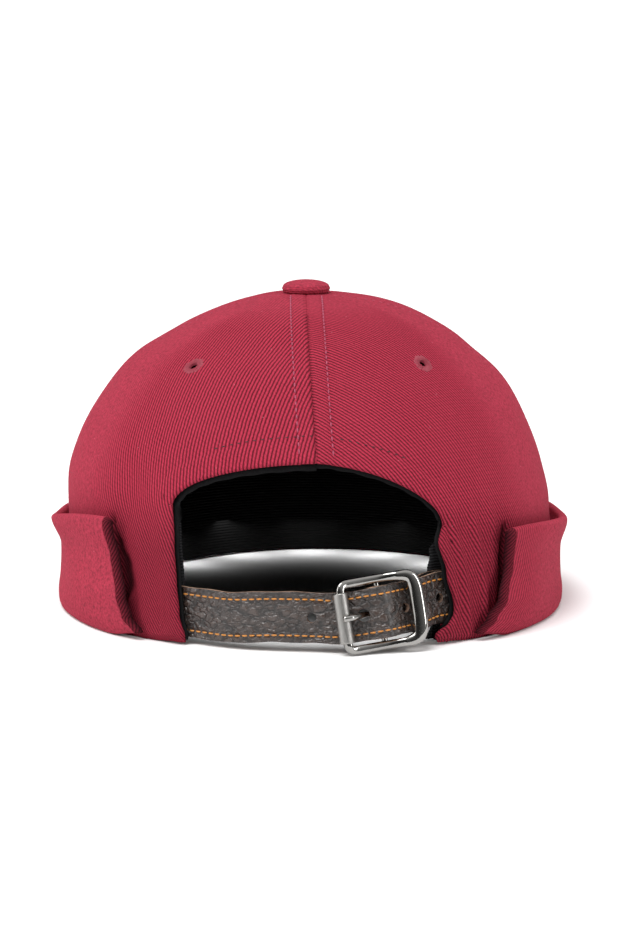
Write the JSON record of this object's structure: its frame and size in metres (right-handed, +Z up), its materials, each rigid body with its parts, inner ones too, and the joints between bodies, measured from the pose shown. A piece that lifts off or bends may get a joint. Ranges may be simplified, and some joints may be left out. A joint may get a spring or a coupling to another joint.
{
  "type": "docker beanie",
  "caption": "Brimless twill docker beanie with a turned-up cuff, vent eyelets, a top button and an arched rear opening crossed by a leather strap with a roller buckle.",
  "frame": {"origin": "centre of the bounding box's footprint, on the surface the cap stands on", "axes": "+Z up, -Y towards the back with the opening and strap, +X towards the side the buckle is on"},
  "size_m": [0.1823, 0.2118, 0.1132],
  "materials": {
    "twill": "heavy washed cotton twill",
    "lining": "matt black cotton lining",
    "sweatband": "ribbed black tape",
    "leather": "pebbled dark brown leather",
    "polished_metal": "polished nickel plate",
    "satin_metal": "satin nickel plate"
  },
  "bodies": {
    "root": {"back_left_panel": "twill", "back_right_panel": "twill", "front_left_panel": "twill", "front_right_panel": "twill", "cuff": "twill", "top_button": "twill", "eyelet_back_left": "twill", "eyelet_back_right": "twill", "eyelet_front_left": "twill", "eyelet_front_right": "twill", "lining": "lining", "sweatband": "sweatband", "strap": "leather", "buckle_strap": "leather", "buckle_frame": "polished_metal", "buckle_prong": "polished_metal", "buckle_roller": "satin_metal"}
  },
  "joints": []
}
